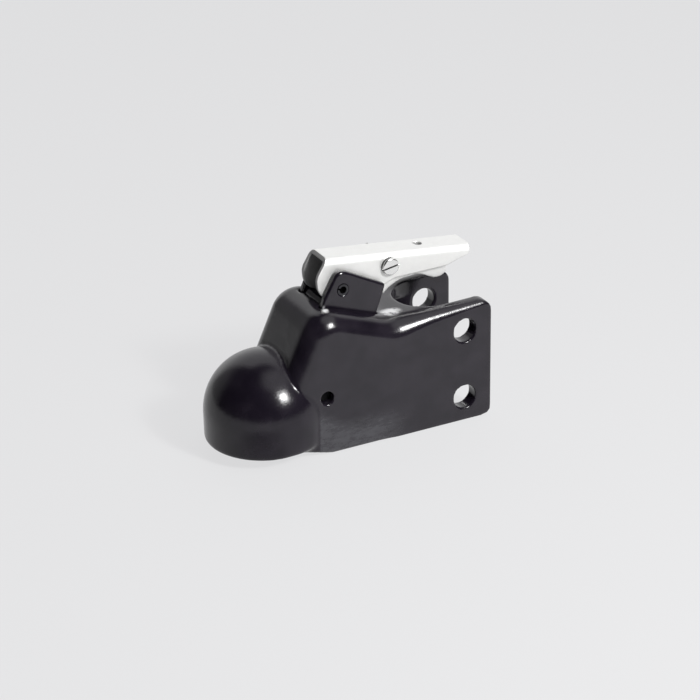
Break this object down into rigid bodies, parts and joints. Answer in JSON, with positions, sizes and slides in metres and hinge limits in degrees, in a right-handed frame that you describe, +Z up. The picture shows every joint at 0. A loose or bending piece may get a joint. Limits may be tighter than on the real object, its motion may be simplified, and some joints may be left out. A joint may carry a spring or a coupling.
{
  "type": "trailer coupling head",
  "caption": "Cast trailer coupling head with a domed ball socket, two drilled side walls and a lever-worked wedge latch with a finger trigger on top.",
  "frame": {"origin": "centre of the tow ball in its socket", "axes": "+X forward along the drawbar to the ball end, +Y to the left, +Z up"},
  "size_m": [0.2013, 0.085, 0.1335],
  "materials": {
    "black_enamel": "glossy black enamel on a casting",
    "zinc_plate": "bright zinc plate on pressed sheet",
    "dark_steel": "oiled spring steel"
  },
  "bodies": {
    "housing": {"coupler_body": "black_enamel", "guide_pin": "dark_steel", "wedge_spring": "dark_steel"},
    "wedge": {"latch_wedge": "black_enamel", "lever_pin": "dark_steel"},
    "lever": {"lever": "zinc_plate", "pivot_bush": "zinc_plate", "trigger_sleeve": "zinc_plate", "trigger_screw": "zinc_plate", "trigger_washer": "zinc_plate", "trigger_nut": "zinc_plate", "trigger_spring": "dark_steel"},
    "trigger": {"trigger": "zinc_plate"}
  },
  "joints": [
    {"name": "wedge_slide", "type": "slide", "parent": "housing", "child": "wedge", "axis": [-0.3338, 0, 0.9426], "range_m": [0, 0.008], "stiffness_N_per_m": 100, "springref_m": -0.008, "deforming": ["wedge_spring"]},
    {"name": "lever_pivot", "type": "hinge", "parent": "wedge", "child": "lever", "pos_m": [-0.05271, 0, 0.08357], "axis": [0, 1, 0], "range_deg": [0, 90], "stiffness_Nm_per_rad": 0.075, "springref_deg": -89.95},
    {"name": "trigger_pivot", "type": "hinge", "parent": "lever", "child": "trigger", "pos_m": [-0.09112, 0, 0.09099], "axis": [0, 1, 0], "range_deg": [0, 10], "stiffness_Nm_per_rad": 0.1, "springref_deg": -17.19, "deforming": ["trigger_spring"]}
  ],
  "couplings": [
    {"joint": "wedge_slide", "follows": "lever_pivot", "m_per_rad": 0.005093}
  ]
}
